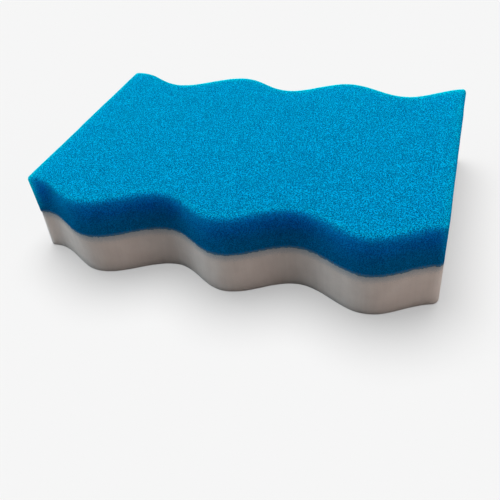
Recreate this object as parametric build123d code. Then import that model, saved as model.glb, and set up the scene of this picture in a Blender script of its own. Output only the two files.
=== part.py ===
from build123d import *
import os
from math import cos, pi

# Two-layer foam pad: coarse open-cell foam glued on top of fine, dense foam.
# Millimetres. +X runs along the pad, +Z points up through the coarse face, and the origin is
# the centre of the underside. Both long sides are wire-cut along one and the same wave, so that
# pads nest in the sheet they are cut from; both ends are straight cuts.

# Overall size
LENGTH = 110.0
MEAN_WIDTH = 67.0

# Layers, from the underside up
FINE_FOAM_HEIGHT = 12.3
ADHESIVE_HEIGHT = 0.2
COARSE_FOAM_HEIGHT = 11.5

# The wave of the long sides: (place along X, sideways shift) of each hollow and crest in turn.
# The first and the last lie beyond the ends, where the straight cuts cut them off.
WAVE_TURNS = (
    (-71.5, -3.75),
    (-52.5, 3.75),
    (-34.5, -3.75),
    (-14.0, 3.25),
    (2.5, -3.75),
    (20.5, 2.75),
    (38.5, -3.75),
    (56.0, 3.25),
)
STEPS_PER_HALF_WAVE = 8

# The cut edges of soft foam are never dead sharp
FACE_EDGE_RADIUS = 0.6
END_EDGE_RADIUS = 0.8


def wave_shift(x):
    """Sideways shift of the cut line at x: half a cosine from each turn to the next."""
    for (x0, shift0), (x1, shift1) in zip(WAVE_TURNS, WAVE_TURNS[1:]):
        if x0 <= x <= x1:
            travel = (1 - cos(pi * (x - x0) / (x1 - x0))) / 2
            return shift0 + (shift1 - shift0) * travel
    raise ValueError("x lies beyond the wave")


def wave_stations():
    """Places along X that the cut line passes through: both ends, and even steps of each half wave."""
    stations = [-LENGTH / 2, LENGTH / 2]
    for (x0, _), (x1, _) in zip(WAVE_TURNS, WAVE_TURNS[1:]):
        for step in range(STEPS_PER_HALF_WAVE):
            x = x0 + (x1 - x0) * step / STEPS_PER_HALF_WAVE
            if abs(x) < LENGTH / 2 - (x1 - x0) / STEPS_PER_HALF_WAVE / 2:
                stations.append(x)
    return sorted(stations)


def pad_outline():
    """The pad's outline from above: two parallel wavy sides joined by two straight ends."""
    near = [(x, wave_shift(x) - MEAN_WIDTH / 2) for x in wave_stations()]
    far = [(x, wave_shift(x) + MEAN_WIDTH / 2) for x in wave_stations()]
    with BuildSketch() as outline:
        with BuildLine():
            Spline(*near)
            Line(near[-1], far[-1])
            Spline(*reversed(far))
            Line(far[0], near[0])
        make_face()
    return outline.sketch


def layer(bottom, height):
    """One layer of the pad, with its upright corners eased where the end cuts meet the waves."""
    with BuildPart() as body:
        with BuildSketch(Plane.XY.offset(bottom)):
            add(pad_outline())
        extrude(amount=height)
        fillet(body.edges().filter_by(Axis.Z), END_EDGE_RADIUS)
    return body.part


def fine_foam_layer():
    """White fine-pored foam: the underside, with its lower rim eased."""
    solid = layer(0, FINE_FOAM_HEIGHT)
    return fillet(solid.faces().sort_by(Axis.Z)[0].edges(), FACE_EDGE_RADIUS)


def adhesive_web():
    """Thin web of hot-melt adhesive that bonds the two foams over their whole area."""
    return layer(FINE_FOAM_HEIGHT, ADHESIVE_HEIGHT)


def coarse_foam_layer():
    """Blue open-cell foam: the upper face, with its upper rim eased."""
    solid = layer(FINE_FOAM_HEIGHT + ADHESIVE_HEIGHT, COARSE_FOAM_HEIGHT)
    return fillet(solid.faces().sort_by(Axis.Z)[-1].edges(), FACE_EDGE_RADIUS)


os.makedirs("parts", exist_ok=True)
export_step(fine_foam_layer(), "parts/fine_foam_layer.step")
export_step(adhesive_web(), "parts/adhesive_web.step")
export_step(coarse_foam_layer(), "parts/coarse_foam_layer.step")
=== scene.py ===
from math import cos, pi, radians, sin

import bmesh
import bpy
import numpy as np
from mathutils import Matrix, Vector, noise


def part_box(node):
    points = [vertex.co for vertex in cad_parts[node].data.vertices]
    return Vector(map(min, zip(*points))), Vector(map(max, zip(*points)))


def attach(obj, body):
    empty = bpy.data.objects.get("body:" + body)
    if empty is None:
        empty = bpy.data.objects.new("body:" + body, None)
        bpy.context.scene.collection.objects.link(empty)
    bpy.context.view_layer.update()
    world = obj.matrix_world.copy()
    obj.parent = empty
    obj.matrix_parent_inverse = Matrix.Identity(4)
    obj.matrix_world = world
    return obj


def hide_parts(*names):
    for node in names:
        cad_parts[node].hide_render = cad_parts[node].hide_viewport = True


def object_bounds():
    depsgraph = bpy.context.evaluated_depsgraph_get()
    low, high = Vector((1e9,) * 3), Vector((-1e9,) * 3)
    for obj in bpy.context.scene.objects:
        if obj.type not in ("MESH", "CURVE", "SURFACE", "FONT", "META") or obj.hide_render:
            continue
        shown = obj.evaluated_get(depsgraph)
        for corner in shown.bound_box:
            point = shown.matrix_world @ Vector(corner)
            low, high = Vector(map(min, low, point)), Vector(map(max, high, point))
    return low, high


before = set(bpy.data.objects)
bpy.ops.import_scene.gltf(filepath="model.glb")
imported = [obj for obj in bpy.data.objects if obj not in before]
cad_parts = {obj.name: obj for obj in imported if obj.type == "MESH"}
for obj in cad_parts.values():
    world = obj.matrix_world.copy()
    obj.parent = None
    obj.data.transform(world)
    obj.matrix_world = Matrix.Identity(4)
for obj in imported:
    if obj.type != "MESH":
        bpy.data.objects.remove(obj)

# A two-layer foam pad with wavy long sides: coarse blue foam bonded on top of fine white foam.
# Lengths are millimetres here and become metres where a mesh, a texture or the camera is made.
# Angles are degrees.

MM = 0.001
CAD_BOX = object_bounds()

# ---------------------------------------------------------------- the pad's own measures

HALF_LENGTH = CAD_BOX[1].x / MM
PAD_HEIGHT = CAD_BOX[1].z / MM

# The wave of the long sides, as in the CAD outline: (place along X, sideways shift) of each turn
WAVE_TURNS = (
    (-71.5, -3.75),
    (-52.5, 3.75),
    (-34.5, -3.75),
    (-14.0, 3.25),
    (2.5, -3.75),
    (20.5, 2.75),
    (38.5, -3.75),
    (56.0, 3.25),
)
HALF_WIDTH = CAD_BOX[1].y / MM - max(shift for _, shift in WAVE_TURNS)

WEB_LOW, WEB_HIGH = [corner.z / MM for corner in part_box("adhesive_web")]
SEAM = (WEB_LOW + WEB_HIGH) / 2


def wave_shift(x):
    """Sideways shift of the cut line at x: half a cosine from each turn to the next."""
    turn_x, turn_shift = np.array(WAVE_TURNS).T
    turn = np.clip(np.searchsorted(turn_x, x) - 1, 0, len(turn_x) - 2)
    travel = (x - turn_x[turn]) / (turn_x[turn + 1] - turn_x[turn])
    return turn_shift[turn] + np.diff(turn_shift)[turn] * (1 - np.cos(pi * travel)) / 2


# ---------------------------------------------------------------- relief of the cut faces

# Slow swells of a wire-cut face: height and breadth of each
SWELLS = ((0.07, 9.0), (0.04, 3.1))

# Open cells of the coarse foam; the reach is a share of a cell
CELL_SPACING = 0.55
CELL_DEPTH = 0.06
CELL_REACH = 0.6

# Grain of the fine foam, and the upright ridges that the cutting wire leaves on it
GRAIN_HEIGHT = 0.012
GRAIN_SIZE = 0.5
RIDGE_HEIGHT = 0.02
RIDGE_WIDTH = 0.9
RIDGE_LENGTH = 14.0


def unevenness(place):
    """Slow swell of a wire-cut foam face, the same for both layers, so that they meet."""
    return sum(height * noise.noise(place / breadth) for height, breadth in SWELLS)


def coarse_relief(place, fade):
    """Open cells: each one sinks below the struts round it."""
    nearest = noise.voronoi(place / CELL_SPACING)[0][0]
    return unevenness(place) - fade * CELL_DEPTH * max(0.0, 1 - nearest / CELL_REACH)


def fine_relief(place, fade):
    """Fine pores show only as a slight grain, crossed by the faint ridges of the cutting wire."""
    combed = Vector((place.x / RIDGE_WIDTH, place.y / RIDGE_WIDTH, place.z / RIDGE_LENGTH))
    grain = GRAIN_HEIGHT * noise.noise(place / GRAIN_SIZE)
    return unevenness(place) + fade * (grain + RIDGE_HEIGHT * noise.noise(combed))


# ---------------------------------------------------------------- meshes

# Both foams have the same lattice pitch, so that their ragged rims meet point for point at the seam
LATTICE_PITCH = 0.37

# A bonded face is recessed inside a rim of this width
RIM_WIDTH = 0.5

# The seam wanders up and down by up to SEAM_RAGGED; the relief fades out over SEAM_FADE beside it
SEAM_RAGGED = 0.4
SEAM_RAGGED_SIZE = 0.35
SEAM_FADE = 0.8

# The end at -X may lean; this is how far from the end the lean starts
END_LEAN_REACH = 15.0

# Stands in for a length of zero where something is divided by it
TINY = 1e-9


def mesh_object(name, points, faces):
    """A new object in the scene, from points in millimetres and the faces between them."""
    mesh = bpy.data.meshes.new(name)
    mesh.from_pydata(np.array(points) * MM, [], faces)
    mesh.update()
    made = bpy.data.objects.new(name, mesh)
    bpy.context.scene.collection.objects.link(made)
    return made


def shell_quads(nx, ny, nz):
    """Lattice points of every quad on the upper face and the four sides of a block of cells."""
    def sheet(corner, along, up, n_along, n_up):
        a, b = np.meshgrid(np.arange(n_along), np.arange(n_up), indexing="ij")
        start = corner + a.reshape(-1, 1) * along + b.reshape(-1, 1) * up
        return np.stack([start, start + along, start + along + up, start + up], axis=1)
    x, y, z = np.eye(3, dtype=int)
    return np.concatenate([
        sheet(nz * z, x, y, nx, ny),
        sheet(0 * x, x, z, nx, nz),
        sheet(nx * x, y, z, ny, nz),
        sheet(nx * x + ny * y, -x, z, nx, nz),
        sheet(ny * y, -y, z, ny, nz),
    ])


def rim_loop(nx, ny):
    """Lattice points of the open rim, in order round the block."""
    front = [(i, 0, 0) for i in range(nx)]
    right = [(nx, j, 0) for j in range(ny)]
    back = [(i, ny, 0) for i in range(nx, 0, -1)]
    left = [(0, j, 0) for j in range(ny, 0, -1)]
    return front + right + back + left


def eased(points, height, rim_radius, corner_radius):
    """Points of a sharp block moved onto one whose upright corners and upper rim are rounded."""
    half_size = np.array([HALF_LENGTH, HALF_WIDTH])
    core = np.clip(points[:, :2], corner_radius - half_size, half_size - corner_radius)
    out = points[:, :2] - core
    reach = np.linalg.norm(out, axis=1, keepdims=True)
    direction = out / np.maximum(reach, TINY)

    inward = corner_radius - np.abs(out).max(axis=1)
    section = np.column_stack([inward, points[:, 2]])
    centre = np.column_stack([np.maximum(inward, rim_radius), np.minimum(points[:, 2], height - rim_radius)])
    arm = section - centre
    section = centre + arm * (rim_radius / np.linalg.norm(arm, axis=1, keepdims=True))
    return np.column_stack([core + direction * (corner_radius - section[:, :1]), section[:, 1]])


def closing_faces(rim, first):
    """Faces from the outer rim to the inner one, whose points start at first, and across the inner one."""
    count = len(rim)
    band = [[rim[(a + 1) % count], rim[a], first + a, first + (a + 1) % count] for a in range(count)]
    return band + [[first + a for a in reversed(range(count))]]


def carve(mesh, points, rim, n_outer, relief):
    """Relief along the normals of the outer points, and a ragged rim where the other layer is met."""
    normals = np.zeros(points.size, np.float32)
    mesh.vertex_normals.foreach_get("vector", normals)
    normals = normals.reshape(-1, 3)
    normals[rim, 2] = 0
    depth = np.zeros(len(points))
    for i in range(n_outer):
        fade = min(1.0, abs(points[i, 2] - SEAM) / SEAM_FADE)
        depth[i] = relief(Vector(points[i]), fade)
    points[rim, 2] += [SEAM_RAGGED * noise.noise(Vector(points[i]) / SEAM_RAGGED_SIZE) for i in rim]
    points += normals * depth[:, None]
    points[:, 2] = np.clip(points[:, 2], 0, PAD_HEIGHT)
    mesh.vertices.foreach_set("co", (points * MM).astype(np.float32).ravel())
    mesh.polygons.foreach_set("use_smooth", [True] * len(mesh.polygons))
    mesh.update()


def foam_block(name, height, upward, rim_radius, corner_radius, end_lean, recess, relief):
    """A closed foam layer: its outer face and cut sides carry the relief, its bonded face is recessed
    inside a narrow rim where it meets the other layer."""
    size = np.array([2 * HALF_LENGTH, 2 * HALF_WIDTH, height])
    counts = [round(side / LATTICE_PITCH) for side in size]
    lattice, faces = np.unique(shell_quads(*counts).reshape(-1, 3), axis=0, return_inverse=True)
    points = lattice / counts * size - [HALF_LENGTH, HALF_WIDTH, 0]
    points = eased(points, height, rim_radius, corner_radius)

    number = {tuple(lattice[i]): int(i) for i in np.flatnonzero(lattice[:, 2] == 0)}
    rim = [number[place] for place in rim_loop(*counts[:2])]
    inner_rim = points[rim]
    inner_rim[:, :2] *= 1 - RIM_WIDTH / np.array([HALF_LENGTH, HALF_WIDTH])
    inner_rim[:, 2] = recess
    n_outer = len(points)
    points = np.concatenate([points, inner_rim])
    polygons = faces.reshape(-1, 4).tolist() + closing_faces(rim, n_outer)
    if not upward:
        polygons = [polygon[::-1] for polygon in polygons]

    points[:, 1] += wave_shift(points[:, 0])
    near_end = np.clip((-points[:, 0] - HALF_LENGTH + END_LEAN_REACH) / END_LEAN_REACH, 0, 1)
    points[:, 0] -= end_lean * near_end * points[:, 2] / height
    points[:, 2] = SEAM + (points[:, 2] if upward else -points[:, 2])
    piece = mesh_object(name, points, polygons)
    carve(piece.data, points, rim, n_outer, relief)
    return piece


# The bonding web: the pitch of its meshes, its distance from the cut sides, how far its knots wander
# from the pitch and over what distance that changes, and how thick a strand is
WEB_PITCH = 2.5
WEB_INSET = 1.0
WEB_WANDER = 1.2
WEB_WANDER_SIZE = 1.3
STRAND_THICKNESS = 0.14


def web_mesh():
    """The open web of hot-melt between the foams, kept inside their rims."""
    half_length = HALF_LENGTH - WEB_INSET
    half_width = HALF_WIDTH - WEB_INSET
    nx = round(2 * half_length / WEB_PITCH)
    ny = round(2 * half_width / WEB_PITCH)
    points = []
    for i in range(nx + 1):
        for j in range(ny + 1):
            x = i * WEB_PITCH - half_length
            y = j * WEB_PITCH - half_width
            inside = 0 < i < nx and 0 < j < ny
            wander = noise.noise_vector(Vector((x, y, 0)) / WEB_WANDER_SIZE) * (WEB_WANDER if inside else 0)
            points.append([min(x, half_length) + wander.x, min(y, half_width) + wander.y, SEAM])
    points = np.array(points)
    points[:, 1] += wave_shift(points[:, 0])
    faces = []
    for i in range(nx):
        for j in range(ny):
            a = i * (ny + 1) + j
            b = a + ny + 1
            c = b + 1
            d = a + 1
            faces += [[a, b, c], [a, c, d]] if (i + j) % 2 else [[a, b, d], [b, c, d]]
    web = mesh_object("bonding_web", points, faces)
    strands = web.modifiers.new("strands", "WIREFRAME")
    strands.thickness = STRAND_THICKNESS * MM
    strands.use_even_offset = False
    strands.use_boundary = True
    bpy.context.view_layer.objects.active = web
    bpy.ops.object.modifier_apply(modifier="strands")
    outward = bmesh.new()
    outward.from_mesh(web.data)
    bmesh.ops.recalc_face_normals(outward, faces=outward.faces)
    outward.to_mesh(web.data)
    outward.free()
    return web


# ---------------------------------------------------------------- material nodes

WHITE = (1.0, 1.0, 1.0)


def new_material(name):
    """A new material, with its node tree and its shader."""
    material = bpy.data.materials.new(name)
    material.use_nodes = True
    return material, material.node_tree, material.node_tree.nodes["Principled BSDF"]


def node(tree, kind, **settings):
    """A new node, with fixed values for its inputs or settings of these names."""
    made = tree.nodes.new(kind)
    for key, value in settings.items():
        if key in made.inputs:
            made.inputs[key].default_value = value
        else:
            setattr(made, key, value)
    return made


def feed(tree, value, socket):
    """A node output linked to a socket, or a fixed value put in it."""
    if isinstance(value, bpy.types.NodeSocket):
        tree.links.new(value, socket)
    elif socket.type == "RGBA":
        socket.default_value = (*value, 1)
    else:
        socket.default_value = value


def maths(tree, operation, *values):
    """A number worked out from node outputs and fixed numbers."""
    made = node(tree, "ShaderNodeMath", operation=operation)
    for value, socket in zip(values, made.inputs):
        feed(tree, value, socket)
    return made.outputs[0]


def times(tree, first, second):
    """Two colours or vectors multiplied part by part."""
    made = node(tree, "ShaderNodeVectorMath", operation="MULTIPLY")
    feed(tree, first, made.inputs[0])
    feed(tree, second, made.inputs[1])
    return made.outputs[0]


def ramp(tree, value, start, end, low, high, curve="LINEAR"):
    """A ramp of a value, from low at start to high at end."""
    made = node(tree, "ShaderNodeMapRange", interpolation_type=curve)
    for name, number in (("From Min", start), ("From Max", end), ("To Min", low), ("To Max", high)):
        made.inputs[name].default_value = number
    feed(tree, value, made.inputs["Value"])
    return made.outputs["Result"]


def blend(tree, share, first, second):
    """A colour between two others."""
    made = node(tree, "ShaderNodeMix", data_type="RGBA")
    colours = [socket for socket in made.inputs if socket.type == "RGBA"]
    feed(tree, share, made.inputs[0])
    feed(tree, first, colours[0])
    feed(tree, second, colours[1])
    return next(socket for socket in made.outputs if socket.type == "RGBA")


def parts_of(tree, vector):
    """The X, Y and Z of a vector."""
    made = node(tree, "ShaderNodeSeparateXYZ")
    tree.links.new(vector, made.inputs[0])
    return made.outputs


def cloud(tree, place, scale, detail):
    """Soft noise about 0.5."""
    made = node(tree, "ShaderNodeTexNoise", Scale=scale, Detail=detail)
    tree.links.new(place, made.inputs["Vector"])
    return made.outputs["Fac"]


def bump(tree, height, strength, depth):
    """A normal tilted by a height that varies by depth."""
    made = node(tree, "ShaderNodeBump", Strength=strength, Distance=depth * MM)
    tree.links.new(height, made.inputs["Height"])
    return made.outputs["Normal"]


# ---------------------------------------------------------------- foam and hot-melt

# Texture coordinates are metres, and the foams' textures are laid out in millimetres
METRES_TO_MM = (1 / MM, 1 / MM, 1 / MM)

# Colour variation over the pad, as a share either way, and where the noise that drives it runs out
MOTTLE = 0.04
NOISE_RANGE = (0.3, 0.7)

# Streaks of the cutting wire run upright: the noise is drawn out along Z
WIRE_STRETCH = (1.0, 1.0, 0.05)

# The painted light and shade along the seam gives way to the foam's colour between these shares of its
# reach, and the foam's colour comes sooner by up to this share of it on a strut
SEAM_EDGES = (0.25, 1.25)
SEAM_LEAD = 0.5

# How much of the contrast between the struts and the painted shade of the pores shows on an upright and on a
# level face
CRISPNESS = (0.54, 0.98)

# A cut side carries its painted shade fully below the first height, and loses this share of it at the
# second, near the top edge
SIDE_SHADE_FULL = PAD_HEIGHT - 4.5
SIDE_SHADE_FADED = PAD_HEIGHT - 0.5
SIDE_SHADE_LOST = 0.75

PORE_ROUGHNESS = 1.0
STRUT_ROUGHNESS = 0.85

# Hot-melt, from its clearer stretches to its cloudier ones
MELT_COLOURS = ((0.55, 0.60, 0.66), (0.86, 0.87, 0.86))
MELT_ROUGHNESS = (0.35, 0.6)


def uneven_tone(tree, place, streaks):
    """Slow variation of tone over the pad, times upright wire streaks."""
    slow = cloud(tree, place, scale=0.25, detail=3.0)
    mottle = ramp(tree, slow, *NOISE_RANGE, 1 - MOTTLE, 1 + MOTTLE)
    wire = cloud(tree, times(tree, place, WIRE_STRETCH), scale=1.1, detail=2.0)
    streak = ramp(tree, wire, *NOISE_RANGE, 1 - streaks, 1 + streaks)
    return maths(tree, "MULTIPLY", mottle, streak)


def clear_of_painted_seam_band(tree, height, strut, reach):
    """Mask of the painted band of light and shade along the seam: 0 at the seam and 1 beyond its reach,
    ragged by the struts.
    """
    distance = maths(tree, "ABSOLUTE", maths(tree, "SUBTRACT", height, SEAM))
    ragged = maths(tree, "MULTIPLY_ADD", strut, SEAM_LEAD * reach, distance)
    return ramp(tree, ragged, SEAM_EDGES[0] * reach, SEAM_EDGES[1] * reach, 0.0, 1.0)


def foam_material(name, cell, pore_edges, pore_relief, pore_shade_colour, strut_colour, cut_side_shade, streaks,
                  seam_light_and_shade_colour, seam_band_reach, soak_full, soak_radius):
    """Foam cut through its cells: lighter struts round pores darkened with painted shade, in colour,
    roughness and bump; the upright cut sides carry painted shade, and a painted band of light and shade runs
    along the seam.
    Light soaks through it, from not at all at the seam to fully at the height soak_full above it."""
    material, tree, shader = new_material(name)
    link = tree.links.new
    place = times(tree, node(tree, "ShaderNodeTexCoord").outputs["Object"], METRES_TO_MM)
    height = parts_of(tree, place)["Z"]
    cells = node(tree, "ShaderNodeTexVoronoi", feature="F1", Scale=1 / cell, Randomness=1.0)
    link(place, cells.inputs["Vector"])
    strut = ramp(tree, cells.outputs["Distance"], *pore_edges, 0.0, 1.0, "SMOOTHSTEP")
    facing = parts_of(tree, node(tree, "ShaderNodeNewGeometry").outputs["Normal"])
    levelness = maths(tree, "ABSOLUTE", facing["Z"])

    crispness = ramp(tree, levelness, 0.0, 1.0, *CRISPNESS)
    strut_share = maths(tree, "MULTIPLY_ADD", maths(tree, "SUBTRACT", strut, 0.5), crispness, 0.5)
    # Painted shade on the upright cut sides: darker and deeper in colour than the level faces, with less of
    # it near the top edge.
    shade_lifted_near_top = ramp(tree, height, SIDE_SHADE_FULL, SIDE_SHADE_FADED, 0.0, SIDE_SHADE_LOST)
    tint = blend(tree, maths(tree, "MAXIMUM", levelness, shade_lifted_near_top), cut_side_shade, WHITE)
    # The pores are darkened with painted shade, the shade in the holes between the struts.
    colour = blend(tree, strut_share, pore_shade_colour, strut_colour)
    colour = times(tree, colour, uneven_tone(tree, place, streaks))
    # The tint here is the painted shade of the upright cut sides.
    colour = times(tree, colour, tint)
    # Painted light and shade along the seam: the white is darkened and blued where it loses light into the
    # blue, and the blue is greyed by light the white throws back.
    colour = blend(tree, clear_of_painted_seam_band(tree, height, strut, seam_band_reach), seam_light_and_shade_colour, colour)

    link(colour, shader.inputs["Base Color"])
    link(bump(tree, strut, strength=1.0, depth=pore_relief), shader.inputs["Normal"])
    link(ramp(tree, strut, 0.0, 1.0, PORE_ROUGHNESS, STRUT_ROUGHNESS), shader.inputs["Roughness"])
    link(ramp(tree, height, SEAM, SEAM + soak_full, 0.0, 1.0), shader.inputs["Subsurface Weight"])
    shader.inputs["Subsurface Radius"].default_value = soak_radius
    shader.inputs["Subsurface Scale"].default_value = MM
    shader.inputs["Specular IOR Level"].default_value = 0.0
    return material


def hot_melt_material():
    """Cooled hot-melt strands: milky, with cloudier and clearer stretches and a slightly rippled skin."""
    material, tree, shader = new_material("hot_melt")
    link = tree.links.new
    place = node(tree, "ShaderNodeTexCoord").outputs["Object"]
    milk = cloud(tree, place, scale=0.8 / MM, detail=3.0)
    ripple = cloud(tree, place, scale=6.0 / MM, detail=2.0)
    link(blend(tree, milk, *MELT_COLOURS), shader.inputs["Base Color"])
    link(ramp(tree, milk, *NOISE_RANGE, *MELT_ROUGHNESS), shader.inputs["Roughness"])
    link(bump(tree, ripple, strength=0.6, depth=0.02), shader.inputs["Normal"])
    return material


# ---------------------------------------------------------------- pieces

coarse_foam = foam_block(
    "coarse_foam", height=PAD_HEIGHT - SEAM, upward=True, rim_radius=1.2, corner_radius=1.2,
    end_lean=0.0, recess=WEB_HIGH - SEAM, relief=coarse_relief)
coarse_foam.data.materials.append(foam_material(
    "blue_open_cell_foam",
    cell=0.29, pore_edges=(0.15, 0.8), pore_relief=0.10,
    # The pore colour is painted shade in the holes between the struts.
    pore_shade_colour=(0.0, 0.03, 0.11), strut_colour=(0.0, 0.37, 0.715),
    # The cut tint is painted shade: the upright cut sides are drawn darker and deeper blue.
    cut_side_shade=(1.0, 0.76, 1.06), streaks=0.0,
    # The seam colour is painted light: the blue is greyed where the white foam throws light back.
    seam_light_and_shade_colour=(0.15, 0.29, 0.41), seam_band_reach=0.9,
    soak_full=8.0, soak_radius=(2.0, 15.0, 18.0)))

fine_foam = foam_block(
    "fine_foam", height=SEAM, upward=False, rim_radius=0.35, corner_radius=1.7,
    end_lean=0.75, recess=SEAM - WEB_LOW, relief=fine_relief)
fine_foam.data.materials.append(foam_material(
    "white_fine_foam",
    cell=0.14, pore_edges=(0.1, 0.6), pore_relief=0.02,
    # The pore colour is painted shade in the holes between the struts.
    pore_shade_colour=(0.83, 0.75, 0.71), strut_colour=(0.93, 0.86, 0.82),
    cut_side_shade=WHITE, streaks=0.02,
    # The seam colour is painted shade: the white is darker and bluer where it loses light into the blue
    # foam.
    seam_light_and_shade_colour=(0.35, 0.46, 0.54), seam_band_reach=2.6,
    soak_full=-3.0, soak_radius=(4.0, 4.0, 4.0)))

bonding_web = web_mesh()
bonding_web.data.materials.append(hot_melt_material())

for piece, cad_node, slot in (
    (coarse_foam, "coarse_foam_layer", "coarse_foam"),
    (fine_foam, "fine_foam_layer", "fine_foam"),
    (bonding_web, "adhesive_web", "adhesive"),
):
    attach(piece, "root")
    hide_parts(cad_node)

# ---------------------------------------------------------------- stage, light and camera

FLOOR_REACH = 20000.0
FLOOR_DROP = 0.02

# As bright as the lit floor, so that no horizon shows
STUDIO_BRIGHTNESS = 0.92


def flat_floor(name, colour, glow):
    """A large flat sheet just below the resting face."""
    corners = [(-FLOOR_REACH, -FLOOR_REACH, 0), (FLOOR_REACH, -FLOOR_REACH, 0),
               (FLOOR_REACH, FLOOR_REACH, 0), (-FLOOR_REACH, FLOOR_REACH, 0)]
    sheet = mesh_object(name, corners, [(0, 1, 2, 3)])
    sheet.location.z = -FLOOR_DROP * MM
    sheet.visible_shadow = False
    material, _, shader = new_material(name)
    shader.inputs["Base Color"].default_value = (*colour, 1)
    shader.inputs["Roughness"].default_value = 1.0
    shader.inputs["Specular IOR Level"].default_value = 0.0
    shader.inputs["Emission Color"].default_value = (*WHITE, 1)
    shader.inputs["Emission Strength"].default_value = glow
    sheet.data.materials.append(material)
    return sheet


# The floor that is seen is a bright, slightly glowing sheet that lights nothing. A darker, warmer card
# in the same place is what throws light back at the pad, so that its sides keep their depth.
floor = flat_floor("floor", colour=(0.50, 0.50, 0.50), glow=0.40)
floor.visible_diffuse = False
card = flat_floor("bounce_card", colour=(0.336, 0.315, 0.302), glow=0.0)
card.visible_camera = False


def soft_light(name, azimuth, elevation, spread, strength, colour):
    """A broad, distant soft light. Azimuth 0 shines from +X and 90 from +Y."""
    lamp = bpy.data.lights.new(name, "SUN")
    lamp.energy = strength * pi
    lamp.angle = radians(spread)
    lamp.color = colour
    light = bpy.data.objects.new(name, lamp)
    towards = Vector((cos(radians(azimuth)) * cos(radians(elevation)),
                      sin(radians(azimuth)) * cos(radians(elevation)),
                      sin(radians(elevation))))
    light.rotation_euler = towards.to_track_quat("Z", "Y").to_euler()
    bpy.context.scene.collection.objects.link(light)


soft_light("overhead_softbox", azimuth=112, elevation=71, spread=50, strength=1.07, colour=WHITE)
soft_light("cool_side_fill", azimuth=192, elevation=22, spread=50, strength=0.30, colour=(0.83, 0.95, 1.0))
soft_light("warm_side_fill", azimuth=-10, elevation=22, spread=50, strength=0.235, colour=(1.0, 0.83, 0.75))

world = bpy.data.worlds.new("studio")
world.use_nodes = True
backdrop = world.node_tree.nodes["Background"]
backdrop.inputs["Color"].default_value = (*WHITE, 1)
backdrop.inputs["Strength"].default_value = STUDIO_BRIGHTNESS
world.cycles_visibility.diffuse = False
world.cycles_visibility.glossy = False
bpy.context.scene.world = world
bpy.context.scene.view_settings.view_transform = "Standard"

# The camera stands in front of the pad, to the right and above, and looks down at it. The lens is
# for Blender's standard sensor.
CAMERA_PLACE = Vector((53.27, -135.74, 106.03))
CAMERA_TURN_LEFT = 23.18
CAMERA_TILT_DOWN = 40.15
CAMERA_ROLL = -7.47
CAMERA_LENS = 42.48
NEAREST_SEEN = 5.0

camera_data = bpy.data.cameras.new("camera")
camera_data.lens = CAMERA_LENS
camera_data.clip_start = NEAREST_SEEN * MM
camera = bpy.data.objects.new("camera", camera_data)
camera.matrix_world = (
    Matrix.Translation(CAMERA_PLACE * MM)
    @ Matrix.Rotation(radians(CAMERA_TURN_LEFT), 4, "Z")
    @ Matrix.Rotation(radians(90 - CAMERA_TILT_DOWN), 4, "X")
    @ Matrix.Rotation(radians(CAMERA_ROLL), 4, "Z")
)
bpy.context.scene.collection.objects.link(camera)
bpy.context.scene.camera = camera
